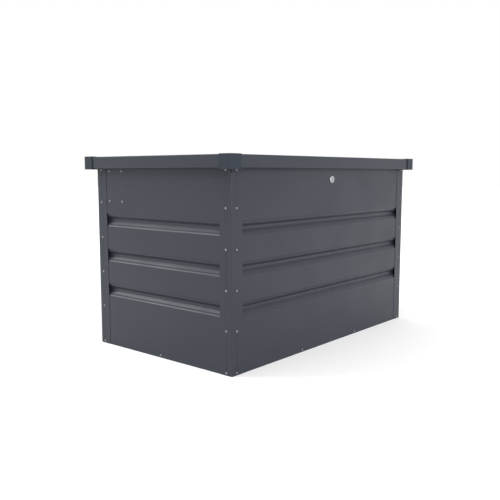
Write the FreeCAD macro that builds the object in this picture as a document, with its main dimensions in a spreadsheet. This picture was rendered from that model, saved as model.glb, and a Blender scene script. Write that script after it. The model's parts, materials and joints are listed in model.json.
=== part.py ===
import FreeCAD
import Part
import math
import os
import Sketcher

# Garden deck storage box in folded sheet steel.
# Frame: origin at the centre of the base, +X to the right seen from the front,
# +Y to the rear (hinge side), +Z up. Millimetres.

Vector = FreeCAD.Vector
doc = FreeCAD.newDocument("deck_storage_box")

SIZES = {
    # box body
    "body_width": 1000, "body_depth": 600, "wall_top": 597,
    "panel_sheet": 0.8, "post_sheet": 1.0, "post_leg": 46, "post_bend": 2.5,
    "wall_flange": 12, "wall_lip": 8, "foot_flange": 15,
    "corner_notch": 17, "zone_margin": 30,
    # reach of cuts: through a sheet, and past the end of a part
    "drill_reach": 8, "cut_past": 5,
    # pressed grooves of the walls: half heights and depths of the stepped section
    "groove_pitch": 116.5, "groove_first": 188,
    "mouth_half": 21.25, "step_half": 17, "ledge_half": 13, "bottom_half": 4.5,
    "step_depth": 3, "ledge_depth": 4, "groove_depth": 12, "skin_shift": 0.4,
    "fold_radius": 1.6,
    # screw rows of the corner posts
    "screw_inset": 21, "screw_low": 8.1, "screw_first": 129.75, "screw_high": 585.8,
    # M4 pan head screw and nut
    "screw_dia": 4, "screw_hole": 4.4, "head_dia": 7.6, "head_height": 2.4, "screw_length": 8,
    "screw_tip": 0.6,
    "recess_arm": 4.4, "recess_slot": 0.9, "recess_depth": 1.3,
    "nut_width": 7, "nut_height": 3.2, "nut_bore": 4.1,
    # floor
    "floor_top": 18, "floor_sheet": 0.8, "floor_rib": 3, "floor_rib_half": 14,
    "floor_rib_slope": 4, "floor_rib_pitch": 95, "floor_corner": 2.5,
    "bearer_x": 159.7, "bearer_width": 40, "bearer_sheet": 1.5, "bearer_base": 1.2,
    # lid
    "overhang_side": 30, "overhang_front": 23, "rim_bottom": 590.1, "rim_top": 627.4,
    "lid_sheet": 1.0, "rim_lip": 8, "border": 14, "recess_z": 620.4, "seat_flange": 22,
    "rim_bend": 2.0, "lid_panel_sheet": 0.8, "lid_panel_play": 0.2,
    "lid_rib": 4, "lid_rib_half": 20, "lid_rib_slope": 5, "lid_rib_pitch": 88,
    "rib_radius": 5, "edge_screw_x": 150,
    "cap_proud": 3, "cap_bottom": 586.5, "cap_top": 628.9, "cap_front_leg": 46,
    "cap_side_leg": 42, "cap_lip": 1.5, "cap_corner": 6, "cap_edge": 1.2,
    "brace_x": 447, "brace_half": 15, "brace_flange": 13, "brace_bottom": 597.6,
    "brace_reach": 305, "brace_sheet": 1.0,
    # lid hinges
    "hinge_x": 330, "hinge_y": 317.5, "hinge_z": 597, "hinge_width": 70,
    "knuckle_radius": 4.5, "knuckle_clear": 1, "pin_dia": 4, "pin_play": 0.05, "pin_end": 1,
    "leaf_sheet": 1.5,
    "middle_knuckle": 24, "knuckle_gap": 0.4, "leaf_low": 562, "leaf_high": 618,
    "leaf_screw_z": 572, "rim_screw_z": 609, "leaf_screw_pitch": 24,
    # gas struts
    "strut_x": 477, "lower_y": 218, "lower_z": 505, "upper_y": 15, "upper_z": 602,
    "tube_dia": 15, "tube_bore": 12.8, "rod_dia": 6, "rod_play": 0.05, "piston_dia": 12.6,
    "ball_dia": 10, "ball_play": 0.05, "stud_neck": 5.6, "stud_base_dia": 14, "stud_base": 2,
    "cup_dia": 16, "cup_open": 3.5, "cup_closed": 6.5, "neck_dia": 12, "neck_end": 20,
    "neck_clear": 0.15, "tube_end": 203.5, "tube_chamfer": 1.5, "end_plug": 3, "bushing": 6,
    "stub_dia": 6, "stub_start": 11, "rod_start": 24.5, "piston": 7,
    "bracket_sheet": 2, "bracket_low": 466, "bracket_high": 588, "bracket_front": 158,
    "bracket_rear": 252, "bracket_corner": 8, "bracket_screw_front": 173.3,
    "bracket_screw_rear": 236.4, "bracket_screw_low": 483.3, "bracket_screw_high": 582,
    "lid_plate_half": 28, "lid_plate_low": 588, "lid_plate_chamfer": 12, "lid_plate_gap": 0.4,
    "open_gap": 0.3, "rivet_dia": 4, "rivet_head": 8, "rivet_head_height": 1.4,
    "rivet_z": 612, "rivet_inset": 7,
    # cam lock and its strike
    "lock_z": 554.5, "lock_face_dia": 25, "lock_face": 2.6, "ring_land": 2.2, "ring_round": 0.6,
    "ring_round_depth": 0.7, "ring_side": 1.7, "barrel_dia": 18, "barrel_end": 274,
    "barrel_play": 0.1, "plug_dia": 12, "plug_play": 0.06, "plug_proud": 0.4,
    "plug_chamfer": 0.6, "plug_gap": 0.4, "lock_nut_width": 24, "lock_nut": 5,
    "key_slot": 8.5, "key_gap": 2.4, "key_depth": 6,
    "cam_sheet": 2, "cam_width": 14, "cam_corner": 6.5, "cam_reach": 32, "cam_post": 7,
    "post_play": 0.02, "cam_screw_dia": 4, "cam_screw_length": 8, "cam_hole": 12,
    "cam_head_dia": 10, "cam_head_side": 1.6, "cam_head_height": 2.8, "cam_head_round": 1.4,
    "strike_left": 14, "strike_right": 44, "strike_y": 278, "strike_sheet": 1.5,
    "strike_tab": 545, "strike_tab_rear": 262, "strike_foot": 305, "strike_screw_inset": 6.6,
}

sheet = doc.addObject("Spreadsheet::Sheet", "size")
for row, (alias, number) in enumerate(SIZES.items(), start=1):
    sheet.set(f"A{row}", alias)
    sheet.set(f"B{row}", str(number))
    sheet.setAlias(f"B{row}", alias)
doc.recompute()

nodes = []


def value(expression):
    """Present value of an expression of the sheet's cells."""
    return float(sheet.evalExpression(str(expression)))


# ---------------------------------------------------------------- modelling helpers

def new_body(label, keep=True):
    body = doc.addObject("PartDesign::Body", label)
    body.Label = label
    if keep:
        nodes.append(body)
    return body


def new_sketch(body, plane, offset=None):
    """Sketch on one of the body's origin planes, moved along the plane's normal."""
    support = next(o for o in body.Origin.OriginFeatures if o.Role == plane + "_Plane")
    sketch = body.newObject("Sketcher::SketchObject", "sketch")
    sketch.AttachmentSupport = [(support, "")]
    sketch.MapMode = "FlatFace"
    if offset is not None:
        sketch.setExpression("AttachmentOffset.Base.z", offset)
    return sketch


def fix_point(sketch, geometry, point, place):
    """Bind one end or centre of a sketch curve to two expressions."""
    for kind, expression in zip(("DistanceX", "DistanceY"), place):
        number = value(expression)
        index = sketch.addConstraint(
            Sketcher.Constraint(kind, -1, 1, geometry, point, number))
        sketch.setExpression(f"Constraints[{index}]", expression)


def add_outline(sketch, points):
    """Closed outline of straight lines through points given as expression pairs."""
    corners = [Vector(value(a), value(b), 0) for a, b in points]
    count = len(corners)
    lines = [sketch.addGeometry(Part.LineSegment(corners[i], corners[(i + 1) % count]), False)
             for i in range(count)]
    for i in range(count):
        sketch.addConstraint(
            Sketcher.Constraint("Coincident", lines[i], 2, lines[(i + 1) % count], 1))
    for line, place in zip(lines, points):
        fix_point(sketch, line, 1, place)


def add_circles(sketch, centres, diameter):
    for centre in centres:
        middle = Vector(value(centre[0]), value(centre[1]), 0)
        circle = Part.Circle(middle, Vector(0, 0, 1), value(diameter) / 2)
        geometry = sketch.addGeometry(circle, False)
        fix_point(sketch, geometry, 3, centre)
        index = sketch.addConstraint(
            Sketcher.Constraint("Diameter", geometry, value(diameter)))
        sketch.setExpression(f"Constraints[{index}]", diameter)


def rectangle(low_a, high_a, low_b, high_b):
    return [(low_a, low_b), (high_a, low_b), (high_a, high_b), (low_a, high_b)]


def extrude(body, sketch, kind, length, symmetric=False, flip=False):
    feature = body.newObject("PartDesign::" + kind, kind.lower())
    feature.Profile = sketch
    feature.setExpression("Length", str(length))
    if symmetric:
        feature.SideType = "Symmetric"
    feature.Reversed = flip
    sketch.Visibility = False
    return feature


def pad(body, plane, outline, length, offset=None, symmetric=False, flip=False):
    sketch = new_sketch(body, plane, offset)
    add_outline(sketch, outline)
    return extrude(body, sketch, "Pad", length, symmetric, flip)


def pad_circle(body, plane, centre, diameter, length, offset=None, flip=False):
    sketch = new_sketch(body, plane, offset)
    add_circles(sketch, [centre], diameter)
    extrude(body, sketch, "Pad", length, flip=flip)


def cut(body, plane, outline, length, offset=None):
    """Outline cut both ways from the sketch plane."""
    sketch = new_sketch(body, plane, offset)
    add_outline(sketch, outline)
    extrude(body, sketch, "Pocket", length, symmetric=True)


def drill(body, plane, centres, diameter, length, offset=None):
    """Round holes cut both ways from the sketch plane."""
    sketch = new_sketch(body, plane, offset)
    add_circles(sketch, centres, diameter)
    extrude(body, sketch, "Pocket", length, symmetric=True)


def revolve(body, outline, plane="XZ"):
    """Turn an outline about the vertical axis of its sketch."""
    sketch = new_sketch(body, plane)
    add_outline(sketch, outline)
    feature = body.newObject("PartDesign::Revolution", "revolution")
    feature.Profile = sketch
    feature.ReferenceAxis = (sketch, ["V_Axis"])
    feature.Angle = 360
    sketch.Visibility = False


def round_edges(body, base, radius, wanted):
    """Fillet the edges of the base feature for which wanted(edge) is true."""
    doc.recompute()
    names = [f"Edge{i}" for i, edge in enumerate(base.Shape.Edges, start=1) if wanted(edge)]
    fillet = body.newObject("PartDesign::Fillet", "fillet")
    fillet.Base = (base, names)
    fillet.setExpression("Radius", radius)
    return fillet


def runs_along(edge, axis, at):
    """True for an edge parallel to an axis whose middle has the coordinates in at."""
    box = edge.BoundBox
    lengths = {"x": box.XLength, "y": box.YLength, "z": box.ZLength}
    middle = {"x": box.Center.x, "y": box.Center.y, "z": box.Center.z}
    others = sum(size for name, size in lengths.items() if name != axis)
    if others > 0.01 or lengths[axis] < 0.1:
        return False
    return all(abs(middle[name] - value(place)) < 0.02 for name, place in at.items())


def strip(path, thickness, side):
    """Outline of a folded strip: a path of square folds and the same path moved sideways.

    Each step of the path is along one sketch axis. The strip lies to the right of the
    path for side = 1 and to its left for side = -1.
    """
    places = [(value(a), value(b)) for a, b in path]
    steps = []
    for (a0, b0), (a1, b1) in zip(places, places[1:]):
        length = math.hypot(a1 - a0, b1 - b0)
        steps.append((round((a1 - a0) / length), round((b1 - b0) / length)))
    inner = []
    for i, (a, b) in enumerate(path):
        normals = {(side * db, -side * da) for da, db in steps[max(i - 1, 0):i + 1]}
        move_a = sum(n[0] for n in normals)
        move_b = sum(n[1] for n in normals)
        inner.append((f"({a}) + ({move_a}) * {thickness}", f"({b}) + ({move_b}) * {thickness}"))
    return path + inner[::-1]


# ---------------------------------------------------------------- walls

SCREW_ROWS = (["size.screw_low"]
              + [f"size.screw_first + {k} * size.groove_pitch" for k in range(4)]
              + ["size.screw_high"])
GROOVE_CENTRES = [f"size.groove_first + {k} * size.groove_pitch" for k in range(3)]
GROOVE_STEPS = [("size.mouth_half", "0"), ("size.step_half", "size.step_depth"),
                ("size.ledge_half", "size.ledge_depth"), ("size.bottom_half", "size.groove_depth")]


def wall_section(face, inward):
    """Folded section of a wall: foot flange, stepped grooves, top flange and lip.

    face is the outer face's coordinate, inward the sign of the way into the box.
    """
    skin = f"{inward} * size.panel_sheet"
    outer = [(f"{face} + {inward} * size.foot_flange", "0"), (face, "0")]
    inner = [(f"{face} + {inward} * size.foot_flange", "size.panel_sheet"),
             (f"{face} + {skin}", "size.panel_sheet")]
    for centre in GROOVE_CENTRES:
        lower = [(f"{centre} - {half}", depth) for half, depth in GROOVE_STEPS]
        upper = [(f"{centre} + {half}", depth) for half, depth in GROOVE_STEPS[::-1]]
        for places, shift in ((lower, "- size.skin_shift"), (upper, "+ size.skin_shift")):
            for height, depth in places:
                outer.append((f"{face} + {inward} * {depth}", height))
                inner.append((f"{face} + {inward} * {depth} + {skin}", f"{height} {shift}"))
    fold = f"{face} + {inward} * size.wall_flange"
    outer += [(face, "size.wall_top"), (fold, "size.wall_top"),
              (fold, "size.wall_top - size.wall_lip")]
    inner += [(f"{face} + {skin}", "size.wall_top - size.panel_sheet"),
              (f"{fold} - {skin}", "size.wall_top - size.panel_sheet"),
              (f"{fold} - {skin}", "size.wall_top - size.wall_lip")]
    return outer + inner[::-1]


def make_wall(label, plane, inward, half_length, half_span):
    """One wall panel. half_span is half the box across the wall, half_length along it."""
    body = new_body(label)
    face = f"{-inward} * ({half_span} - size.post_sheet)"
    section = wall_section(face, inward)
    feature = pad(body, plane, section, f"2 * ({half_length})", symmetric=True)
    along, across = ("x", "y") if plane == "YZ" else ("y", "x")
    low = value("size.groove_first - 2 * size.mouth_half")
    high = value("size.groove_first + 2 * size.groove_pitch + 2 * size.mouth_half")
    folds = round_edges(body, feature, "size.fold_radius",
                        lambda edge: runs_along(edge, along, {})
                        and low < edge.BoundBox.Center.z < high)
    round_edges(body, folds, "size.post_bend",
                lambda edge: runs_along(edge, along, {across: face, "z": "size.wall_top"}))
    return body, face


def end_zones(half_length, notch):
    """Both end stretches of a wall, from the notch line outwards."""
    far = f"({half_length} + size.cut_past)"
    near = f"({half_length} - {notch})"
    return [(f"-{far}", f"-{near}"), (near, far)]


def make_front_or_rear(label, inward):
    half_length = "(size.body_width / 2 - size.post_sheet - size.panel_sheet)"
    body, face = make_wall(label, "YZ", inward, half_length, "size.body_depth / 2")
    behind = f"{face} + {inward} * size.panel_sheet"
    for low, high in end_zones(half_length, "size.corner_notch"):
        cut(body, "XY", rectangle(low, high, behind, f"{behind} + {inward} * size.zone_margin"),
            "size.groove_pitch * 2 + size.mouth_half * 2 + size.ledge_half",
            offset="size.groove_first + size.groove_pitch")
    reach = f"-1 * ({face})"
    side = "(size.body_width / 2 - size.screw_inset)"
    holes = [(f"{s} * {side}", z) for s in (-1, 1) for z in SCREW_ROWS]
    holes += [(f"{s} * size.bearer_x", "size.screw_low") for s in (-1, 1)]
    if inward < 0:
        holes += [(f"{s} * size.hinge_x + {k} * size.leaf_screw_pitch", "size.leaf_screw_z")
                  for s in (-1, 1) for k in (-1, 0, 1)]
    drill(body, "XZ", holes, "size.screw_hole", "size.drill_reach", offset=reach)
    if inward > 0:
        drill(body, "XZ", [("0", "size.lock_z")], "size.barrel_dia + 2 * size.barrel_play",
              "size.drill_reach", offset=reach)


def make_side(label, inward):
    half_length = "(size.body_depth / 2 - size.post_sheet)"
    body, face = make_wall(label, "XZ", inward, half_length, "size.body_width / 2")
    behind = f"{face} + {inward} * size.panel_sheet"
    for low, high in end_zones(half_length, "size.corner_notch"):
        cut(body, "XY", rectangle(behind, f"{behind} + {inward} * size.zone_margin", low, high),
            "size.wall_top * 3")
    side = "(size.body_depth / 2 - size.screw_inset)"
    holes = [(f"{s} * {side}", z) for s in (-1, 1) for z in SCREW_ROWS]
    holes += [("0", "size.screw_low")]
    holes += [(y, z) for y in ("size.bracket_screw_front", "size.bracket_screw_rear")
              for z in ("size.bracket_screw_low", "size.bracket_screw_high")]
    drill(body, "YZ", holes, "size.screw_hole", "size.drill_reach", offset=face)


def make_post(label, sx, sy):
    """Corner angle, outside the walls, bent from one strip."""
    body = new_body(label)
    x_face = f"{sx} * size.body_width / 2"
    y_face = f"{sy} * size.body_depth / 2"
    x_in = f"{x_face} - {sx} * size.post_sheet"
    y_in = f"{y_face} - {sy} * size.post_sheet"
    x_end = f"{x_face} - {sx} * size.post_leg"
    y_end = f"{y_face} - {sy} * size.post_leg"
    outline = [(x_face, y_face), (x_end, y_face), (x_end, y_in), (x_in, y_in), (x_in, y_end),
               (x_face, y_end)]
    feature = pad(body, "XY", outline, "size.wall_top")
    round_edges(body, feature, "size.post_bend",
                lambda edge: runs_along(edge, "z", {"x": x_face, "y": y_face}))
    front_holes = [(f"{x_face} - {sx} * size.screw_inset", z) for z in SCREW_ROWS]
    side_holes = [(f"{y_face} - {sy} * size.screw_inset", z) for z in SCREW_ROWS]
    drill(body, "XZ", front_holes, "size.screw_hole", "size.drill_reach", offset=f"-1 * ({y_face})")
    drill(body, "YZ", side_holes, "size.screw_hole", "size.drill_reach", offset=x_face)


# ---------------------------------------------------------------- floor

FLOOR_RIBS = 5
LID_RIBS = 6


def ribbed_section(half_depth, base, thickness, height, half, slope, pitch, count):
    """Section of a sheet with raised ribs, across the ribs, from -half_depth to half_depth."""
    upper = [(f"-{half_depth}", f"{base} + {thickness}")]
    lower = [(f"-{half_depth}", base)]
    for k in range(count):
        centre = f"({k - (count - 1) / 2}) * {pitch}"
        shape = [(f"-{half} - {slope}", "0"), (f"-{half}", height), (half, height),
                 (f"{half} + {slope}", "0")]
        for side, (place, rise) in enumerate(shape):
            shift = f"+ {thickness} / 2" if side < 2 else f"- {thickness} / 2"
            upper.append((f"{centre} + {place}", f"{base} + {thickness} + {rise}"))
            lower.append((f"{centre} + {place} {shift}", f"{base} + {rise}"))
    upper.append((half_depth, f"{base} + {thickness}"))
    lower.append((half_depth, base))
    return upper + lower[::-1]


def on_rib(edge, half_depth):
    """True for the folds of a ribbed sheet, not for its long outer edges."""
    return runs_along(edge, "x", {}) and abs(edge.BoundBox.Center.y) < value(half_depth) - 1


def make_floor():
    body = new_body("floor_panel")
    half_x = "(size.body_width / 2 - size.post_sheet - size.panel_sheet)"
    half_y = "(size.body_depth / 2 - size.post_sheet - size.panel_sheet)"
    base = "size.floor_top - size.floor_sheet"
    section = ribbed_section(half_y, base, "size.floor_sheet", "size.floor_rib",
                             "size.floor_rib_half", "size.floor_rib_slope",
                             "size.floor_rib_pitch", FLOOR_RIBS)
    flat = pad(body, "YZ", section, f"2 * {half_x}", symmetric=True)
    round_edges(body, flat, "size.rib_radius / 2", lambda edge: on_rib(edge, half_y))
    skirt = f"{base} - size.bearer_base"
    corner_gap = "size.floor_corner"
    for s in (-1, 1):
        outer_y = f"{s} * {half_y}"
        pad(body, "XY", rectangle(f"-{half_x} + {corner_gap}", f"{half_x} - {corner_gap}", outer_y,
                                  f"{outer_y} - {s} * size.floor_sheet"),
            skirt, offset="size.bearer_base")
        outer_x = f"{s} * {half_x}"
        pad(body, "XY", rectangle(outer_x, f"{outer_x} - {s} * size.floor_sheet",
                                  f"-{half_y} + {corner_gap}", f"{half_y} - {corner_gap}"),
            skirt, offset="size.bearer_base")
    x_holes = [f"{s} * (size.body_width / 2 - size.screw_inset)" for s in (-1, 1)]
    x_holes += [f"{s} * size.bearer_x" for s in (-1, 1)]
    y_holes = [f"{s} * (size.body_depth / 2 - size.screw_inset)" for s in (-1, 1)] + ["0"]
    drill(body, "XZ", [(x, "size.screw_low") for x in x_holes], "size.screw_hole",
          "size.body_depth + size.cut_past")
    drill(body, "YZ", [(y, "size.screw_low") for y in y_holes], "size.screw_hole",
          "size.body_width + size.cut_past")


def make_bearer(label, sign):
    """Channel under the floor, front to rear, with a tab screwed to each long wall."""
    body = new_body(label)
    left = f"{sign} * size.bearer_x - size.bearer_width / 2"
    right = f"{sign} * size.bearer_x + size.bearer_width / 2"
    top = "size.floor_top - size.floor_sheet"
    half_y = "(size.body_depth / 2 - size.post_sheet - size.panel_sheet - size.floor_sheet)"
    section = strip([(left, "size.bearer_base"), (left, top), (right, top),
                     (right, "size.bearer_base")], "size.bearer_sheet", 1)
    pad(body, "XZ", section, f"2 * {half_y}", symmetric=True)
    for s in (-1, 1):
        end = f"{s} * {half_y}"
        pad(body, "XY", rectangle(left, right, end, f"{end} - {s} * size.bearer_sheet"),
            f"{top} - size.bearer_base", offset="size.bearer_base")
    drill(body, "XZ", [(f"{sign} * size.bearer_x", "size.screw_low")], "size.screw_hole",
          "size.body_depth + size.cut_past")


# ---------------------------------------------------------------- lid

LID_X = "(size.body_width / 2 + size.overhang_side)"
LID_Y = "(size.body_depth / 2 + size.overhang_front)"


def rim_section(outer, inward):
    """Folded edge of the lid: lip, outer face, raised border and seat for the sheet."""
    lip = f"{outer} + {inward} * size.rim_lip"
    inner = f"{outer} + {inward} * size.border"
    seat = f"{inner} + {inward} * size.seat_flange"
    path = [(lip, "size.rim_bottom"), (outer, "size.rim_bottom"), (outer, "size.rim_top"),
            (inner, "size.rim_top"), (inner, "size.recess_z"), (seat, "size.recess_z")]
    return strip(path, "size.lid_sheet", inward)


def make_lid_edge(label, plane, inward, half_own, half_other):
    """Edge profile of the lid, mitred at both ends."""
    body = new_body(label)
    outer = f"{-inward} * {half_own}"
    feature = pad(body, plane, rim_section(outer, inward), f"2 * {half_other}", symmetric=True)
    along, across = ("x", "y") if plane == "YZ" else ("y", "x")
    round_edges(body, feature, "size.rim_bend",
                lambda edge: any(runs_along(edge, along, {across: outer, "z": z})
                                 for z in ("size.rim_bottom", "size.rim_top")))
    reach = "(size.border + size.seat_flange + size.cut_past)"
    for s in (-1, 1):
        end = f"{s} * {half_other}"
        triangle = [(f"{end} + {s}", f"{outer} - {inward}"),
                    (f"{end} + {s}", f"{outer} + {inward} * {reach}"),
                    (f"{end} - {s} * {reach}", f"{outer} + {inward} * {reach}")]
        if plane == "XZ":
            triangle = [(b, a) for a, b in triangle]
        cut(body, "XY", triangle, "size.rim_top * 3")
    return body


def make_lid_panel():
    """Ribbed top sheet, laid in the recess of the four edges."""
    body = new_body("lid_top_panel")
    half_x = f"({LID_X} - size.border - size.lid_panel_play)"
    half_y = f"({LID_Y} - size.border - size.lid_panel_play)"
    section = ribbed_section(half_y, "size.recess_z", "size.lid_panel_sheet", "size.lid_rib",
                             "size.lid_rib_half", "size.lid_rib_slope", "size.lid_rib_pitch",
                             LID_RIBS)
    flat = pad(body, "YZ", section, f"2 * {half_x}", symmetric=True)
    round_edges(body, flat, "size.rib_radius", lambda edge: on_rib(edge, half_y))
    drill(body, "XY", LID_SCREW_PLACES, "size.screw_hole", "size.drill_reach", offset="size.recess_z")


SEAT_X = f"({LID_X} - size.border - size.seat_flange / 2)"
SEAT_Y = f"({LID_Y} - size.border - size.seat_flange / 2)"
BRACE_SCREWS = [(f"{s} * (size.brace_x + {k} * (size.brace_half + size.brace_flange / 2))",
                 f"{t} * {SEAT_Y}") for s in (-1, 1) for k in (-1, 1) for t in (-1, 1)]
STRIKE_SCREWS = [(x, f"-{SEAT_Y}") for x in ("size.strike_left + size.strike_screw_inset",
                                             "size.strike_right - size.strike_screw_inset")]
EDGE_SCREWS = [(f"{s} * size.edge_screw_x", f"{t} * {SEAT_Y}") for s in (-1, 1) for t in (-1, 1)]
EDGE_SCREWS += [(f"{s} * {SEAT_X}", f"{t} * size.lid_rib_pitch") for s in (-1, 1) for t in (-1, 1)]
LID_SCREW_PLACES = BRACE_SCREWS + STRIKE_SCREWS + EDGE_SCREWS


def make_lid_edges():
    front = make_lid_edge("lid_edge_front", "YZ", 1, LID_Y, LID_X)
    rear = make_lid_edge("lid_edge_rear", "YZ", -1, LID_Y, LID_X)
    left = make_lid_edge("lid_edge_left", "XZ", 1, LID_X, LID_Y)
    right = make_lid_edge("lid_edge_right", "XZ", -1, LID_X, LID_Y)
    seats = (value(SEAT_X), value(SEAT_Y))
    for body, axis, sign in ((front, 1, -1), (rear, 1, 1), (left, 0, -1), (right, 0, 1)):
        places = [p for p in LID_SCREW_PLACES if math.isclose(value(p[axis]), sign * seats[axis])]
        drill(body, "XY", places, "size.screw_hole", "size.drill_reach", offset="size.recess_z")
    rim_holes = [(f"{s} * size.hinge_x + {k} * size.leaf_screw_pitch", "size.rim_screw_z")
                 for s in (-1, 1) for k in (-1, 0, 1)]
    drill(rear, "XZ", rim_holes, "size.screw_hole", "size.drill_reach", offset=f"-1 * {LID_Y}")


def make_cap(label, sx, sy):
    """Moulded corner cap: an angle over the mitre, with a roof, a lip and a bottom shelf."""
    body = new_body(label)
    x_out = f"{sx} * ({LID_X} + size.cap_proud)"
    y_out = f"{sy} * ({LID_Y} + size.cap_proud)"
    x_end = f"{x_out} - {sx} * size.cap_front_leg"
    y_end = f"{y_out} - {sy} * size.cap_side_leg"

    def angle(near, far):
        """Plan of an angle whose arms lie between two distances from the outer faces."""
        return [(f"{x_out} - {sx} * {near}", f"{y_out} - {sy} * {near}"),
                (x_end, f"{y_out} - {sy} * {near}"), (x_end, f"{y_out} - {sy} * {far}"),
                (f"{x_out} - {sx} * {far}", f"{y_out} - {sy} * {far}"),
                (f"{x_out} - {sx} * {far}", y_end), (f"{x_out} - {sx} * {near}", y_end)]

    cover = "(size.cap_proud + size.border + size.cap_lip)"
    pad(body, "XY", angle("0", "size.cap_proud"), "size.cap_top - size.cap_bottom",
        offset="size.cap_bottom")
    pad(body, "XY", angle("0", cover), "size.cap_top - size.rim_top", offset="size.rim_top")
    low_lip = "size.recess_z + size.lid_panel_sheet"
    pad(body, "XY", angle("(size.cap_proud + size.border)", cover),
        f"size.cap_top - ({low_lip})", offset=low_lip)
    shell = pad(body, "XY", angle("0", "(size.cap_proud + size.rim_lip)"),
                "size.rim_bottom - size.cap_bottom", offset="size.cap_bottom")
    corner = round_edges(body, shell, "size.cap_corner",
                         lambda edge: runs_along(edge, "z", {"x": x_out, "y": y_out}))
    top, bottom = value("size.cap_top"), value("size.cap_bottom")
    x_limit, y_limit = abs(value(x_out)), abs(value(y_out))
    corner_radius = value("size.cap_corner")

    def on_rim(edge):
        """Edges of the top and bottom faces that follow the outer faces."""
        box = edge.BoundBox
        if box.ZLength > 0.01 or min(abs(box.ZMin - top), abs(box.ZMin - bottom)) > 0.01:
            return False
        far_x = max(abs(box.XMin), abs(box.XMax))
        far_y = max(abs(box.YMin), abs(box.YMax))
        near_x, near_y = min(abs(box.XMin), abs(box.XMax)), min(abs(box.YMin), abs(box.YMax))
        on_x = far_x > x_limit - 0.01 and near_x > x_limit - corner_radius - 0.01
        on_y = far_y > y_limit - 0.01 and near_y > y_limit - corner_radius - 0.01
        return on_x or on_y

    round_edges(body, corner, "size.cap_edge", on_rim)


PLATE_RIVETS = [(f"size.upper_y + {k} * (size.lid_plate_half - size.rivet_inset)", "size.rivet_z")
                for k in (-1, 1)]


def make_brace(label, sign):
    """Hat channel across the lid, front to rear, open upwards."""
    body = new_body(label)
    centre = f"{sign} * size.brace_x"
    top = "(size.recess_z - size.lid_sheet)"
    left, right = f"{centre} - size.brace_half", f"{centre} + size.brace_half"
    path = [(f"{left} - size.brace_flange", f"{top} - size.brace_sheet"),
            (left, f"{top} - size.brace_sheet"), (left, "size.brace_bottom"),
            (right, "size.brace_bottom"), (right, f"{top} - size.brace_sheet"),
            (f"{right} + size.brace_flange", f"{top} - size.brace_sheet")]
    pad(body, "XZ", strip(path, "size.brace_sheet", -1), "2 * size.brace_reach", symmetric=True)
    places = [p for p in BRACE_SCREWS if value(p[0]) * sign > 0]
    drill(body, "XY", places, "size.screw_hole", "size.drill_reach", offset=top)
    drill(body, "YZ", PLATE_RIVETS, "size.rivet_dia", 6,
          offset=f"{sign} * (size.brace_x + size.brace_half)")


def make_lid_plate(label, sign):
    """Plate riveted to the brace's outer web, where the strut's upper stud bears."""
    body = new_body(label)
    face = f"{sign} * (size.brace_x + size.brace_half)"
    y_front = "size.upper_y - size.lid_plate_half"
    y_rear = "size.upper_y + size.lid_plate_half"
    high = "size.recess_z - size.lid_sheet - size.brace_sheet - size.lid_plate_gap"
    low = "size.lid_plate_low"
    shoulder = f"{low} + size.lid_plate_chamfer"
    outline = [(y_front, high), (y_front, shoulder), (f"{y_front} + size.lid_plate_chamfer", low),
               (f"{y_rear} - size.lid_plate_chamfer", low), (y_rear, shoulder), (y_rear, high)]
    pad(body, "YZ", outline, "size.bracket_sheet", offset=face, flip=sign < 0)
    drill(body, "YZ", PLATE_RIVETS, "size.rivet_dia", "size.drill_reach", offset=face)


# ---------------------------------------------------------------- hinges

KNUCKLE_CENTRE = ("size.hinge_y", "size.hinge_z")


def make_body_leaf(label, sign):
    """Leaf on the rear wall, with an arm that carries the middle knuckle."""
    body = new_body(label)
    wall = "(size.body_depth / 2 - size.post_sheet)"
    arm_top = "(size.hinge_z + size.knuckle_radius)"
    centre = f"{sign} * size.hinge_x"
    half = "size.hinge_width / 2"
    pad(body, "XZ", rectangle(f"{centre} - {half}", f"{centre} + {half}", "size.leaf_low", arm_top),
        "size.leaf_sheet", offset=f"-1 * {wall}", flip=True)
    arm = rectangle(wall, "size.hinge_y", f"{arm_top} - size.leaf_sheet", arm_top)
    pad(body, "YZ", arm, "size.middle_knuckle", offset=centre, symmetric=True)
    sketch = new_sketch(body, "YZ", centre)
    add_circles(sketch, [KNUCKLE_CENTRE], "2 * size.knuckle_radius")
    extrude(body, sketch, "Pad", "size.middle_knuckle", symmetric=True)
    drill(body, "YZ", [KNUCKLE_CENTRE], "size.pin_dia", "size.hinge_width", offset=centre)
    holes = [(f"{centre} + {k} * size.leaf_screw_pitch", "size.leaf_screw_z") for k in (-1, 0, 1)]
    drill(body, "XZ", holes, "size.screw_hole", "size.drill_reach", offset=f"-1 * {wall}")


def make_lid_leaf(label, sign):
    """Leaf inside the rear edge of the lid, with the two outer knuckles."""
    body = new_body(label)
    outer = f"({LID_Y} - size.lid_sheet)"
    centre = f"{sign} * size.hinge_x"
    half = "size.hinge_width / 2"
    pad(body, "XZ", rectangle(f"{centre} - {half}", f"{centre} + {half}", "size.hinge_z",
                              "size.leaf_high"),
        "size.leaf_sheet", offset=f"-1 * {outer}", flip=False)
    sketch = new_sketch(body, "YZ", centre)
    add_circles(sketch, [KNUCKLE_CENTRE], "2 * size.knuckle_radius")
    extrude(body, sketch, "Pad", "size.hinge_width", symmetric=True)
    gap = "(size.middle_knuckle / 2 + size.knuckle_gap)"
    clear = "(size.knuckle_radius + size.knuckle_clear)"
    cut(body, "YZ", rectangle(f"size.hinge_y - {clear}", f"size.hinge_y + {clear}",
                              f"size.hinge_z - {clear}", f"size.hinge_z + {clear}"),
        f"2 * {gap}", offset=centre)
    drill(body, "YZ", [KNUCKLE_CENTRE], "size.pin_dia + 2 * size.pin_play",
          "size.hinge_width + 2 * size.pin_end", offset=centre)
    holes = [(f"{centre} + {k} * size.leaf_screw_pitch", "size.rim_screw_z") for k in (-1, 0, 1)]
    drill(body, "XZ", holes, "size.screw_hole", "size.drill_reach", offset=f"-1 * {outer}")


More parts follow.
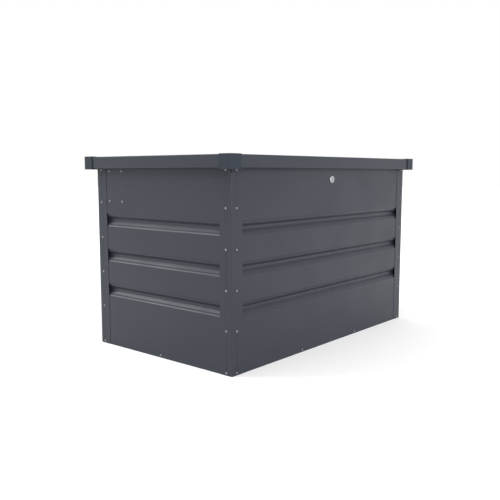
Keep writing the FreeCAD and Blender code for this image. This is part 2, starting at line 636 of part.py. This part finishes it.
def make_hinge_pin(label, sign):
    pin = doc.addObject("Part::Cylinder", label)
    pin.Label = label
    pin.setExpression("Radius", "size.pin_dia / 2")
    pin.setExpression("Height", "size.hinge_width + 2 * size.pin_end")
    pin.Placement = FreeCAD.Placement(Vector(), FreeCAD.Rotation(Vector(0, 1, 0), 90))
    pin.setExpression("Placement.Base.x",
                      f"{sign} * size.hinge_x - size.hinge_width / 2 - size.pin_end")
    pin.setExpression("Placement.Base.y", "size.hinge_y")
    pin.setExpression("Placement.Base.z", "size.hinge_z")
    nodes.append(pin)


# ---------------------------------------------------------------- gas struts

STRUT_RUN = value("size.upper_y - size.lower_y")
STRUT_RISE = value("size.upper_z - size.lower_z")
STRUT_LENGTH = math.hypot(STRUT_RUN, STRUT_RISE)
STRUT_TILT = math.degrees(math.atan2(-STRUT_RUN, STRUT_RISE))


def place_on_strut(body, sign, flip=False):
    """Stand a body's own z axis along the strut, from one ball towards the other."""
    end = "upper" if flip else "lower"
    tilt = STRUT_TILT + (180 if flip else 0)
    body.Placement = FreeCAD.Placement(
        Vector(value(f"{sign} * size.strut_x"), value(f"size.{end}_y"), value(f"size.{end}_z")),
        FreeCAD.Rotation(Vector(1, 0, 0), tilt))


def add_ball(body, kind, radius):
    """Ball about the body's origin, with its poles on the x axis like the stud's neck."""
    ball = body.newObject(f"PartDesign::{kind}Sphere", "ball")
    ball.setExpression("Radius", radius)
    ball.Placement = FreeCAD.Placement(Vector(), FreeCAD.Rotation(Vector(0, 1, 0), 90))


def make_socket(label, sign, towards_stud, flip):
    """Moulded ball socket: a cup that opens towards the stud and a neck along the strut."""
    body = new_body(label)
    open_x = f"{towards_stud} * size.cup_open"
    pad_circle(body, "YZ", ("0", "0"), "size.cup_dia", "size.cup_open + size.cup_closed",
               offset=open_x, flip=towards_stud > 0)
    add_ball(body, "Subtractive", "size.ball_dia / 2 + size.ball_play")
    neck_start = "(size.ball_dia / 2 + size.ball_play + size.neck_clear)"
    pad_circle(body, "XY", ("0", "0"), "size.neck_dia", f"size.neck_end - {neck_start}",
               offset=neck_start)
    drill(body, "XY", [("0", "0")], "size.stub_dia", "2 * (size.neck_end - size.stub_start)",
          offset="size.neck_end")
    place_on_strut(body, sign, flip)


def make_stud(label, sign, end, towards_base, base_distance):
    """Ball stud: ball, neck and riveted base flange, turned about the x direction."""
    body = new_body(label)
    near = f"({base_distance} - size.stud_base)"
    pad_circle(body, "YZ", ("0", "0"), "size.stud_neck", near, flip=towards_base < 0)
    pad_circle(body, "YZ", ("0", "0"), "size.stud_base_dia", "size.stud_base",
               offset=f"{towards_base} * {near}", flip=towards_base < 0)
    add_ball(body, "Additive", "size.ball_dia / 2")
    body.Placement.Base = Vector(value(f"{sign} * size.strut_x"), value(f"size.{end}_y"),
                                 value(f"size.{end}_z"))


def make_cylinder(label, sign):
    """Pressure tube with its end plug, threaded stub and rod bushing, in one piece."""
    body = new_body(label)
    tube, bore = "size.tube_dia / 2", "size.tube_bore / 2"
    stub = "size.stub_dia / 2"
    rod = "size.rod_dia / 2 + size.rod_play"
    shoulder = f"{tube} - size.tube_chamfer"
    revolve(body, [("0", "size.stub_start"), (stub, "size.stub_start"), (stub, "size.neck_end"),
                   (shoulder, "size.neck_end"), (tube, "size.neck_end + size.tube_chamfer"),
                   (tube, "size.tube_end - size.tube_chamfer"), (shoulder, "size.tube_end"),
                   (rod, "size.tube_end"), (rod, "size.tube_end - size.bushing"),
                   (bore, "size.tube_end - size.bushing"), (bore, "size.neck_end + size.end_plug"),
                   ("0", "size.neck_end + size.end_plug")])
    place_on_strut(body, sign)


def make_rod(label, sign):
    """Polished rod with its piston; the far end screws into the upper socket."""
    body = new_body(label)
    rod, piston = "size.rod_dia / 2", "size.piston_dia / 2"
    far = f"{STRUT_LENGTH} - size.stub_start"
    revolve(body, [("0", "size.rod_start"), (piston, "size.rod_start"),
                   (piston, "size.rod_start + size.piston"), (rod, "size.rod_start + size.piston"),
                   (rod, far), ("0", far)])
    place_on_strut(body, sign)


def make_wall_bracket(label, sign):
    """Plate inside the side wall that carries the strut's lower stud."""
    body = new_body(label)
    face = f"{sign} * (size.body_width / 2 - size.post_sheet - size.panel_sheet)"
    feature = pad(body, "YZ", rectangle("size.bracket_front", "size.bracket_rear",
                                        "size.bracket_low", "size.bracket_high"),
                  "size.bracket_sheet", offset=face, flip=sign > 0)
    round_edges(body, feature, "size.bracket_corner",
                lambda edge: edge.BoundBox.XLength > 1.5 and edge.BoundBox.DiagonalLength < 2.5)
    holes = [(y, z) for y in ("size.bracket_screw_front", "size.bracket_screw_rear")
             for z in ("size.bracket_screw_low", "size.bracket_screw_high")]
    drill(body, "YZ", holes, "size.screw_hole", "size.drill_reach", offset=face)


# ---------------------------------------------------------------- lock

FRONT = "(size.body_depth / 2 - size.post_sheet)"
PLUG_REAR = "(size.barrel_end - size.plug_gap)"
CAM_REAR = f"({PLUG_REAR} - size.cam_sheet)"


def hexagon(width):
    """Regular hexagon about the origin, given across its flats."""
    half = f"{width} / 2"
    corner = f"{width} / sqrt(3)"
    return [(corner, "0"), (f"{corner} / 2", half), (f"-{corner} / 2", half), (f"-{corner}", "0"),
            (f"-{corner} / 2", f"-{half}"), (f"{corner} / 2", f"-{half}")]


def make_lock_housing():
    """Face ring and threaded barrel, turned about y, with the bore for the plug."""
    body = new_body("lock_housing")
    face, barrel = "size.lock_face_dia / 2", "size.barrel_dia / 2"
    bore = "size.plug_dia / 2 + size.plug_play"
    front = f"-1 * {FRONT}"
    revolve(body, [(bore, f"{front} - size.lock_face"),
                   (f"{face} - size.ring_land", f"{front} - size.lock_face"),
                   (f"{face} - size.ring_round",
                    f"{front} - size.lock_face + size.ring_round_depth"),
                   (face, f"{front} - size.lock_face + size.ring_side"), (face, front),
                   (barrel, front), (barrel, "-1 * size.barrel_end"),
                   (bore, "-1 * size.barrel_end")], plane="XY")
    body.Placement.Base = Vector(0, 0, value("size.lock_z"))


def make_lock_nut():
    body = new_body("lock_nut")
    back = f"({FRONT} - size.panel_sheet)"
    sketch = new_sketch(body, "XZ", back)
    add_outline(sketch, hexagon("size.lock_nut_width"))
    extrude(body, sketch, "Pad", "size.lock_nut", flip=True)
    drill(body, "XZ", [("0", "0")], "size.barrel_dia + size.barrel_play", "size.body_depth")
    body.Placement.Base = Vector(0, 0, value("size.lock_z"))


def make_lock_plug():
    """Turning plug with a blind key slot, a shoulder and a square post for the cam."""
    body = new_body("lock_plug")
    radius = "size.plug_dia / 2"
    front = f"-1 * ({FRONT} + size.lock_face + size.plug_proud)"
    rear = f"-1 * {PLUG_REAR}"
    revolve(body, [("0", front), (f"{radius} - size.plug_chamfer", front),
                   (radius, f"{front} + size.plug_chamfer"), (radius, rear), ("0", rear)],
            plane="XY")
    post = "size.cam_post / 2"
    pad(body, "XZ", rectangle(f"-{post}", post, f"-{post}", post), "size.cam_sheet",
        offset=PLUG_REAR, flip=True)
    slot, gap = "size.key_slot / 2", "size.key_gap / 2"
    cut(body, "XZ", rectangle(f"-{gap}", gap, f"-{slot}", slot), "2 * size.key_depth",
        offset=f"-1 * ({front})")
    drill(body, "XZ", [("0", "0")], "size.cam_screw_dia", "2 * size.cam_hole", offset=CAM_REAR)
    body.Placement.Base = Vector(0, 0, value("size.lock_z"))


def make_lock_cam():
    """Flat cam, standing up when unlocked."""
    body = new_body("lock_cam")
    half = "size.cam_width / 2"
    feature = pad(body, "XZ", rectangle(f"-{half}", half, f"-{half}", "size.cam_reach"),
                  "size.cam_sheet", offset=PLUG_REAR, flip=True)
    round_edges(body, feature, "size.cam_corner",
                lambda edge: edge.BoundBox.YLength > 1.5 and edge.BoundBox.DiagonalLength < 2.5)
    post = "(size.cam_post / 2 + size.post_play)"
    cut(body, "XZ", rectangle(f"-{post}", post, f"-{post}", post), "size.drill_reach",
        offset=PLUG_REAR)
    body.Placement.Base = Vector(0, 0, value("size.lock_z"))


def cross_recess(body, plane, offset):
    """Two crossed slots sunk into a screw head from the given plane."""
    arm, slot = "size.recess_arm / 2", "size.recess_slot / 2"
    for a, b in ((arm, slot), (slot, arm)):
        cut(body, plane, rectangle(f"-{a}", a, f"-{b}", b), "2 * size.recess_depth", offset=offset)


def make_cam_screw():
    body = new_body("lock_cam_screw")
    back = f"-1 * {CAM_REAR}"
    tip = f"{back} - size.cam_screw_length"
    end = f"{back} + size.cam_head_height"
    head, shank = "size.cam_head_dia / 2", "size.cam_screw_dia / 2"
    revolve(body, [("0", tip), (shank, tip), (shank, back), (head, back),
                   (head, f"{back} + size.cam_head_side"),
                   (f"{head} - size.cam_head_round", end), ("0", end)], plane="XY")
    cross_recess(body, "XZ", f"-1 * ({end})")
    body.Placement.Base = Vector(0, 0, value("size.lock_z"))


def make_strike():
    """Folded strike under the lid's front edge, with a tab below the cam's path."""
    body = new_body("lid_strike")
    top = "(size.recess_z - size.lid_sheet)"
    rear = "-1 * size.strike_y"
    foot = "-1 * size.strike_foot"
    tab = "-1 * size.strike_tab_rear"
    inner = f"{rear} + size.strike_sheet"
    outline = [(foot, top), (inner, top), (inner, "size.strike_tab"), (tab, "size.strike_tab"),
               (tab, "size.strike_tab - size.strike_sheet"),
               (rear, "size.strike_tab - size.strike_sheet"), (rear, f"{top} - size.strike_sheet"),
               (foot, f"{top} - size.strike_sheet")]
    width = "(size.strike_right - size.strike_left)"
    pad(body, "YZ", outline, width, offset="(size.strike_left + size.strike_right) / 2",
        symmetric=True)
    drill(body, "XY", STRIKE_SCREWS, "size.screw_hole", "size.drill_reach", offset=top)


# ---------------------------------------------------------------- fasteners

AXIS_TURNS = {
    "+x": (Vector(0, 1, 0), 90), "-x": (Vector(0, 1, 0), -90),
    "+y": (Vector(1, 0, 0), -90), "-y": (Vector(1, 0, 0), 90), "+z": (Vector(0, 0, 1), 0),
}


# pan head outline as shares of the head's radius and height
HEAD_PROFILE = ((1, 0.36), (0.9, 0.7), (0.68, 0.92), (0.4, 1), (0, 1))
# the same for the formed head of a rivet
RIVET_PROFILE = ((0, 1), (0.6, 1), (1, 0.4), (1, 0))


def make_screw_model():
    """Pan head screw, head above z = 0, shank below, cross recess in the head."""
    body = new_body("pan_head_screw", keep=False)
    head, shank = "size.head_dia / 2", "size.screw_dia / 2"
    tip = "-1 * size.screw_length"
    dome = [(f"{head} * {across}", f"size.head_height * {up}") for across, up in HEAD_PROFILE]
    revolve(body, [("0", tip), (f"{shank} - size.screw_tip", tip),
                   (shank, f"{tip} + size.screw_tip"), (shank, "0"), (head, "0")] + dome)
    cross_recess(body, "XY", "size.head_height")
    return body


def make_nut_model():
    """Hexagon nut below z = 0."""
    body = new_body("hexagon_nut", keep=False)
    sketch = new_sketch(body, "XY")
    add_outline(sketch, hexagon("size.nut_width"))
    extrude(body, sketch, "Pad", "size.nut_height", flip=True)
    drill(body, "XY", [("0", "0")], "size.nut_bore", "3 * size.nut_height")
    return body


def make_rivet_model():
    """Flush rivet: shank above z = 0, formed head below."""
    body = new_body("flush_rivet", keep=False)
    shank, head = "size.rivet_dia / 2", "size.rivet_head / 2"
    low = "-1 * size.rivet_head_height"
    top = "size.bracket_sheet + size.brace_sheet"
    formed = [(f"{head} * {across}", f"{low} * {down}") for across, down in RIVET_PROFILE]
    revolve(body, formed + [(shank, "0"), (shank, top), ("0", top)])
    return body


def make_group(label, model, places):
    """Compound of copies of one fastener; places are (x, y, z, direction) entries."""
    links = []
    for x, y, z, direction in places:
        link = doc.addObject("App::Link", label + "_copy")
        link.LinkedObject = model
        axis, angle = AXIS_TURNS[direction]
        link.Placement = FreeCAD.Placement(Vector(), FreeCAD.Rotation(axis, angle))
        for letter, expression in zip("xyz", (x, y, z)):
            link.setExpression(f"Placement.Base.{letter}", expression)
        links.append(link)
    group = doc.addObject("Part::Compound", label)
    group.Label = label
    group.Links = links
    nodes.append(group)


def behind(places):
    """Places of the nuts: the screw seats moved back by the thickness that each clamps."""
    moved = []
    for x, y, z, direction, grip in places:
        step = f"{'-' if direction[0] == '+' else '+'} ({grip})"
        seat = {"x": x, "y": y, "z": z}
        seat[direction[1]] = f"{seat[direction[1]]} {step}"
        moved.append((seat["x"], seat["y"], seat["z"], direction))
    return moved


def make_screwed_joints(prefix, places, screw, nut):
    make_group(prefix + "_screws", screw, [place[:4] for place in places])
    make_group(prefix + "_nuts", nut, behind(places))


def frame_places():
    """Corner post screws, and the floor screws along the foot of each wall."""
    places = []
    for row, z in enumerate(SCREW_ROWS):
        grip = "size.post_sheet + size.panel_sheet" + (" + size.floor_sheet" if row == 0 else "")
        for sx in (-1, 1):
            for sy in (-1, 1):
                in_x = f"{sx} * (size.body_width / 2 - size.screw_inset)"
                in_y = f"{sy} * (size.body_depth / 2 - size.screw_inset)"
                places.append((in_x, f"{sy} * size.body_depth / 2", z,
                               "+y" if sy > 0 else "-y", grip))
                places.append((f"{sx} * size.body_width / 2", in_y, z,
                               "+x" if sx > 0 else "-x", grip))
    low = "size.screw_low"
    for s in (-1, 1):
        for t in (-1, 1):
            places.append((f"{s} * size.bearer_x", f"{t} * {FRONT}", low, "+y" if t > 0 else "-y",
                           "size.panel_sheet + size.floor_sheet + size.bearer_sheet"))
        places.append((f"{s} * (size.body_width / 2 - size.post_sheet)", "0", low,
                       "+x" if s > 0 else "-x", "size.panel_sheet + size.floor_sheet"))
    return places


def fitting_places():
    """Strut bracket screws in the side walls and hinge leaf screws in the rear wall."""
    places = []
    for s in (-1, 1):
        for y in ("size.bracket_screw_front", "size.bracket_screw_rear"):
            for z in ("size.bracket_screw_low", "size.bracket_screw_high"):
                places.append((f"{s} * (size.body_width / 2 - size.post_sheet)", y, z,
                               "+x" if s > 0 else "-x", "size.panel_sheet + size.bracket_sheet"))
        for k in (-1, 0, 1):
            places.append((f"{s} * size.hinge_x + {k} * size.leaf_screw_pitch",
                           f"{FRONT} + size.leaf_sheet", "size.leaf_screw_z", "+y",
                           "size.leaf_sheet + size.panel_sheet"))
    return places


def lid_panel_places():
    seat = "size.recess_z + size.lid_panel_sheet"
    grips = ([" + size.brace_sheet"] * len(BRACE_SCREWS)
             + [" + size.strike_sheet"] * len(STRIKE_SCREWS) + [""] * len(EDGE_SCREWS))
    return [(x, y, seat, "+z", "size.lid_panel_sheet + size.lid_sheet" + extra)
            for (x, y), extra in zip(LID_SCREW_PLACES, grips)]


def lid_hinge_places():
    return [(f"{s} * size.hinge_x + {k} * size.leaf_screw_pitch", LID_Y, "size.rim_screw_z", "+y",
             "size.lid_sheet + size.leaf_sheet") for s in (-1, 1) for k in (-1, 0, 1)]


def rivet_places():
    inner = "(size.brace_x + size.brace_half - size.brace_sheet)"
    return [(f"{s} * {inner}", y, z, "+x" if s > 0 else "-x")
            for s in (-1, 1) for y, z in PLATE_RIVETS]


# ---------------------------------------------------------------- assembly

SIDES = (("left", -1), ("right", 1))

make_front_or_rear("front_panel", 1)
make_front_or_rear("rear_panel", -1)
make_side("left_panel", 1)
make_side("right_panel", -1)
for depth_name, sy in (("front", -1), ("rear", 1)):
    for side_name, sx in SIDES:
        make_post(f"corner_post_{depth_name}_{side_name}", sx, sy)
        make_cap(f"lid_corner_cap_{depth_name}_{side_name}", sx, sy)
make_floor()
make_lid_edges()
make_lid_panel()
make_strike()
make_lock_housing()
make_lock_nut()
make_lock_plug()
make_lock_cam()
make_cam_screw()

WALL_FACE = "(size.body_width / 2 - size.post_sheet - size.panel_sheet - size.bracket_sheet)"
PLATE_FACE = "(size.brace_x + size.brace_half + size.bracket_sheet)"
for side_name, side in SIDES:
    make_bearer(f"floor_bearer_{side_name}", side)
    make_brace(f"lid_brace_{side_name}", side)
    make_lid_plate(f"lid_strut_plate_{side_name}", side)
    make_body_leaf(f"hinge_body_leaf_{side_name}", side)
    make_lid_leaf(f"hinge_lid_leaf_{side_name}", side)
    make_hinge_pin(f"hinge_pin_{side_name}", side)
    make_wall_bracket(f"strut_bracket_{side_name}", side)
    make_stud(f"strut_lower_stud_{side_name}", side, "lower", side,
              f"({WALL_FACE} - size.strut_x)")
    make_stud(f"strut_upper_stud_{side_name}", side, "upper", -side,
              f"(size.strut_x - {PLATE_FACE} - size.open_gap)")
    make_socket(f"strut_lower_socket_{side_name}", side, side, flip=False)
    make_socket(f"strut_upper_socket_{side_name}", side, -side, flip=True)
    make_cylinder(f"strut_cylinder_{side_name}", side)
    make_rod(f"strut_rod_{side_name}", side)

screw_model = make_screw_model()
nut_model = make_nut_model()
make_screwed_joints("frame", frame_places(), screw_model, nut_model)
make_screwed_joints("fitting", fitting_places(), screw_model, nut_model)
make_screwed_joints("lid_panel", lid_panel_places(), screw_model, nut_model)
make_screwed_joints("lid_hinge", lid_hinge_places(), screw_model, nut_model)
make_group("lid_plate_rivets", make_rivet_model(), rivet_places())

doc.recompute()

# ---------------------------------------------------------------- checks and export

for item in doc.Objects:
    if "Invalid" in item.State or "Error" in item.State:
        raise RuntimeError(f"{item.Label} did not recompute")
for node in nodes:
    if node.Shape.isNull() or not node.Shape.isValid() or not node.Shape.Solids:
        raise RuntimeError(f"{node.Label} has no valid shape")

os.makedirs("parts", exist_ok=True)
for node in nodes:
    node.Shape.exportStep(f"parts/{node.Label}.step")
print(f"{len(nodes)} parts written, strut closed length {STRUT_LENGTH:.2f} mm")
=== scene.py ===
import json
import math

import bpy
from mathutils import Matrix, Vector


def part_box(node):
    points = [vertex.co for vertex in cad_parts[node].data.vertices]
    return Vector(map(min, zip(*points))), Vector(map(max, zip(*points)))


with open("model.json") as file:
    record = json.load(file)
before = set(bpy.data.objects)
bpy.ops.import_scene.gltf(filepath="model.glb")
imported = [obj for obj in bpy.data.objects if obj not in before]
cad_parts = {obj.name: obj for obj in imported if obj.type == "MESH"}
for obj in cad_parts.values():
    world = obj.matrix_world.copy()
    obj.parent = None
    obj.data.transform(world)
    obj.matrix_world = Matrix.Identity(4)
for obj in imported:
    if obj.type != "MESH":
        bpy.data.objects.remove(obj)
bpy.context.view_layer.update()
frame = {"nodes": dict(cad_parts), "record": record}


# ---------------------------------------------------------------- node helpers

def shade(colour, factor):
    return tuple(channel * factor for channel in colour)


class Shader:
    """A node tree with one Principled shader, and short ways to add what feeds it."""

    def __init__(self, name):
        self.material = bpy.data.materials.new(name)
        self.material.use_nodes = True
        self.tree = self.material.node_tree
        self.principled = self.tree.nodes["Principled BSDF"]
        self.coordinates = self.node("TexCoord").outputs["Object"]

    def put(self, item, socket):
        """Link a node's output to a socket, or set the socket; colours are given as RGB."""
        if isinstance(item, bpy.types.NodeSocket):
            self.tree.links.new(item, socket)
        else:
            socket.default_value = (*item, 1.0) if socket.type == "RGBA" else item

    def fill(self, node, **inputs):
        """Put each item in the input of its name, where an underscore stands for a space."""
        for name, item in inputs.items():
            self.put(item, node.inputs[name.replace("_", " ")])

    def node(self, kind, **inputs):
        node = self.tree.nodes.new(f"ShaderNode{kind}")
        self.fill(node, **inputs)
        return node

    def set(self, **inputs):
        """Feed the Principled shader."""
        self.fill(self.principled, **inputs)

    def noise(self, scale, detail=3.0, stretch=None):
        source = self.coordinates
        if stretch:
            source = self.node("Mapping", Vector=source, Scale=stretch).outputs["Vector"]
        return self.node("TexNoise", Vector=source, Scale=scale, Detail=detail).outputs["Fac"]

    def spread(self, source, low=0.0, high=1.0, from_low=0.3, from_high=0.7):
        """Map a factor to low..high; most of a noise lies between 0.3 and 0.7."""
        node = self.node("MapRange", Value=source, From_Min=from_low, From_Max=from_high,
                         To_Min=low, To_Max=high)
        return node.outputs["Result"]

    def math(self, operation, first, second):
        node = self.node("Math")
        node.operation = operation
        for socket, item in zip(node.inputs, (first, second)):
            self.put(item, socket)
        return node.outputs["Value"]

    def mix(self, factor, first, second):
        """Mix two colours. A Mix node has sockets of one name for each type of data."""
        node = self.node("Mix", Factor=factor)
        node.data_type = "RGBA"
        colours = [socket for socket in node.inputs if socket.type == "RGBA"]
        for socket, item in zip(colours, (first, second)):
            self.put(item, socket)
        return next(socket for socket in node.outputs if socket.type == "RGBA")

    def tint(self, factor, colour, low, high):
        """The colour, made between low and high times as bright by a factor."""
        return self.mix(factor, shade(colour, low), shade(colour, high))

    def facing_up(self, low, high):
        """0 on walls and undersides, rising to 1 where the surface looks upwards."""
        normal = self.node("NewGeometry").outputs["Normal"]
        split = self.node("SeparateXYZ", Vector=normal)
        return self.spread(split.outputs["Z"], from_low=low, from_high=high)

    def bump(self, height, distance, strength, under=None):
        """Bump the surface, on top of the bump given as under."""
        node = self.node("Bump", Height=height, Distance=distance, Strength=strength)
        if under is not None:
            self.put(under, node.inputs["Normal"])
        self.set(Normal=node.outputs["Normal"])
        return node.outputs["Normal"]


# ---------------------------------------------------------------- materials

WHITE = (1.0, 1.0, 1.0)
DUST = (0.16, 0.165, 0.17)
# BLACK is the enamel's own colour, and also the painted shade in the lock's key slot.
BLACK = (0.012, 0.012, 0.013)
CHROME = (0.42, 0.43, 0.45)
ANTHRACITE = (0.019, 0.0225, 0.033)
CAP_GREY = (0.015, 0.021, 0.032)

# Noise scales that two finishes share: the slow waves of thin sheet, and the clouds of plating.
SHEET_WAVES = 3.2
PLATE_CLOUDS = 120.0

# Painted shade: the key slot goes from unshaded to fully dark between these two places behind the
# plug's front face.
PLUG_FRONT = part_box("lock_plug")[0][1]
SLOT_UNSHADED = PLUG_FRONT + 0.0002
SLOT_SHADED = PLUG_FRONT + 0.0006


def painted_sheet(name, colour):
    """Powder coat on thin sheet: mottling, fine specks, dust on top, orange peel, slow waves."""
    shader = Shader(name)
    mottle = shader.spread(shader.noise(2.6, detail=2.0))
    specks = shader.math("MULTIPLY", shader.spread(shader.noise(1400.0, detail=2.0)), 0.16)
    dust = shader.math("MULTIPLY", shader.facing_up(0.2, 1.0),
                       shader.spread(shader.noise(60.0, detail=6.0), 0.03, 0.08))
    base = shader.tint(mottle, colour, 0.95, 1.05)
    base = shader.mix(specks, base, shade(colour, 1.5))
    rough = shader.spread(shader.noise(9.0, detail=4.0), 0.38, 0.47)
    waves = shader.bump(shader.noise(SHEET_WAVES, detail=1.0), distance=0.0012, strength=0.5)
    shader.bump(shader.noise(900.0, detail=2.0), distance=0.00002, strength=0.5, under=waves)
    shader.set(Base_Color=shader.mix(dust, base, DUST), Roughness=rough, Specular_IOR_Level=0.34)
    return shader.material


def moulded_plastic(name, colour):
    """Fine spark-eroded mould texture with slight flow marks."""
    shader = Shader(name)
    flow = shader.spread(shader.noise(14.0, stretch=(1.0, 1.0, 3.0)))
    rough = shader.spread(shader.noise(40.0, detail=2.0), 0.47, 0.56)
    shader.bump(shader.noise(1600.0), distance=0.00004, strength=0.7)
    shader.set(Base_Color=shader.tint(flow, colour, 0.93, 1.07), Roughness=rough,
               Specular_IOR_Level=0.26)
    return shader.material


def cloudy(shader, colour):
    """The colour of metal plate, faintly uneven."""
    return shader.tint(shader.spread(shader.noise(PLATE_CLOUDS, detail=4.0)), colour, 0.86, 1.06)


def plated_steel(name, colour, gloss, grain=(1.0, 1.0, 1.0)):
    """Zinc, nickel or chrome plate with fine marks, which grain can make longer one way."""
    shader = Shader(name)
    rough = shader.spread(shader.noise(300.0, stretch=grain), gloss - 0.08, gloss + 0.12)
    shader.bump(shader.noise(500.0, stretch=grain), distance=0.00002, strength=0.6)
    shader.set(Base_Color=cloudy(shader, colour), Roughness=rough, Metallic=1.0)
    return shader.material


def slotted_plug(name, colour):
    """Satin chrome, with painted shade that turns the key slot black and not metallic behind the
    front face.
    """
    shader = Shader(name)
    place = shader.node("SeparateXYZ", Vector=shader.coordinates).outputs["Y"]
    slot_shade = shader.spread(place, from_low=SLOT_UNSHADED, from_high=SLOT_SHADED)
    # Painted shade: behind the plug's front face the colour goes black and stops being metallic.
    shader.set(Base_Color=shader.mix(slot_shade, cloudy(shader, colour), BLACK),
               Metallic=shader.math("SUBTRACT", 1.0, slot_shade),
               Roughness=shader.spread(shader.noise(300.0), 0.30, 0.48))
    return shader.material


def galvanised(name, colour):
    """Spangled hot-dip zinc: crystal patches of slightly different tone."""
    shader = Shader(name)
    crystals = shader.node("TexVoronoi", Vector=shader.coordinates, Scale=95.0)
    split = shader.node("SeparateColor", Color=crystals.outputs["Color"])
    rough = shader.spread(split.outputs["Green"], 0.34, 0.56, from_low=0.0, from_high=1.0)
    shader.bump(shader.noise(SHEET_WAVES, detail=1.0), distance=0.0010, strength=0.5)
    shader.set(Base_Color=shader.tint(split.outputs["Red"], colour, 0.82, 1.1),
               Roughness=rough, Metallic=0.85)
    return shader.material


def gloss_paint(name, colour):
    """Smooth enamel on the strut's tube, with faint haze."""
    shader = Shader(name)
    haze = shader.spread(shader.noise(60.0))
    rough = shader.spread(shader.noise(160.0), 0.18, 0.28)
    shader.bump(shader.noise(420.0, detail=2.0), distance=0.00001, strength=0.5)
    shader.set(Base_Color=shader.tint(haze, colour, 0.9, 1.2), Roughness=rough, Coat_Weight=0.3)
    return shader.material


MATERIALS = {
    "painted_steel": painted_sheet("anthracite_powder_coat", ANTHRACITE),
    "corner_plastic": moulded_plastic("cap_plastic", CAP_GREY),
    "galvanised_sheet": galvanised("galvanised_sheet", (0.50, 0.52, 0.54)),
    "zinc_hardware": plated_steel("bright_zinc", (0.27, 0.28, 0.29), gloss=0.45),
    "lock_metal": plated_steel("satin_chrome", CHROME, gloss=0.38),
    "strut_tube": gloss_paint("black_enamel", BLACK),
    "strut_rod": plated_steel("polished_rod", (0.78, 0.78, 0.80), gloss=0.14,
                              grain=(1.0, 6.0, 6.0)),
    "socket_nylon": moulded_plastic("black_nylon", (0.018, 0.018, 0.020)),
}

NODE_MATERIALS = {"lock_plug": slotted_plug("plug_chrome", CHROME)}


# ---------------------------------------------------------------- CAD nodes

# In metres: how near corners are joined, and how wide edges sharper than SHARP are rounded.
WELD = 0.00001
FOLD_BEVEL = 0.00030
BEVELS = {"corner_plastic": 0.00050}
SHARP = math.radians(30)
SLOT_OF = {row["node"]: row["material_slot"] for row in frame["record"]["subparts"]}


def finish_node(node, obj):
    """Give a CAD node its material and soften its sharp edges."""
    slot = SLOT_OF[node]
    obj.data.materials.clear()
    obj.data.materials.append(NODE_MATERIALS.get(node, MATERIALS[slot]))
    weld = obj.modifiers.new("weld", "WELD")
    weld.merge_threshold = WELD
    bevel = obj.modifiers.new("soft_edges", "BEVEL")
    bevel.width = BEVELS.get(slot, FOLD_BEVEL)
    bevel.segments = 2
    bevel.limit_method = "ANGLE"
    bevel.angle_limit = SHARP


for node_name, node_object in frame["nodes"].items():
    finish_node(node_name, node_object)


# ---------------------------------------------------------------- stage, light and camera

FLOOR_SIZE = 40.0

# The camera was fitted to the photograph's outline: its place in metres, just under the level of
# the lid's rim and off the front left corner, its angles in degrees, and its lens in millimetres.
EYE = (-1.8219, -1.4902, 0.5800)
LOOKS_DOWN = 6.924
TURNED_RIGHT = 49.643
LENS = 46.547
SENSOR = 36.0


def make_floor():
    """Wide pale floor, bright enough to blend into the white surroundings."""
    bpy.ops.mesh.primitive_plane_add(size=FLOOR_SIZE, location=(0, 0, 0))
    floor = bpy.context.object
    floor.name = "studio_floor"
    shader = Shader("pale_floor")
    tone = shader.spread(shader.noise(1.5, detail=2.0))
    shader.set(Base_Color=shader.tint(tone, WHITE, 0.91, 0.93), Roughness=0.9,
               Specular_IOR_Level=0.0, Emission_Color=WHITE, Emission_Strength=0.12)
    floor.data.materials.append(shader.material)


def add_sun(name, towards, strength, softness):
    """A distant light that comes from the given direction; softness is its width in degrees."""
    light = bpy.data.lights.new(name, "SUN")
    light.energy = strength
    light.angle = math.radians(softness)
    lamp = bpy.data.objects.new(name, light)
    lamp.rotation_euler = Vector(towards).to_track_quat("Z", "Y").to_euler()
    bpy.context.scene.collection.objects.link(lamp)


def make_world():
    """Even white surroundings."""
    world = bpy.data.worlds.new("studio_white")
    bpy.context.scene.world = world
    world.use_nodes = True
    background = world.node_tree.nodes["Background"]
    background.inputs["Color"].default_value = (*WHITE, 1.0)
    background.inputs["Strength"].default_value = 1.0


def make_camera():
    camera = bpy.data.cameras.new("camera")
    camera.sensor_width = SENSOR
    camera.lens = LENS
    holder = bpy.data.objects.new("camera", camera)
    holder.location = EYE
    holder.rotation_euler = (math.radians(90.0 - LOOKS_DOWN), 0.0, math.radians(-TURNED_RIGHT))
    bpy.context.scene.collection.objects.link(holder)
    bpy.context.scene.camera = holder


make_floor()
make_world()
add_sun("rear_left", towards=(-0.40, 0.68, 0.62), strength=1.4, softness=28.0)
add_sun("front_key", towards=(-1.30, -2.56, 1.00), strength=1.7, softness=4.0)
make_camera()
bpy.context.scene.view_settings.view_transform = "Standard"
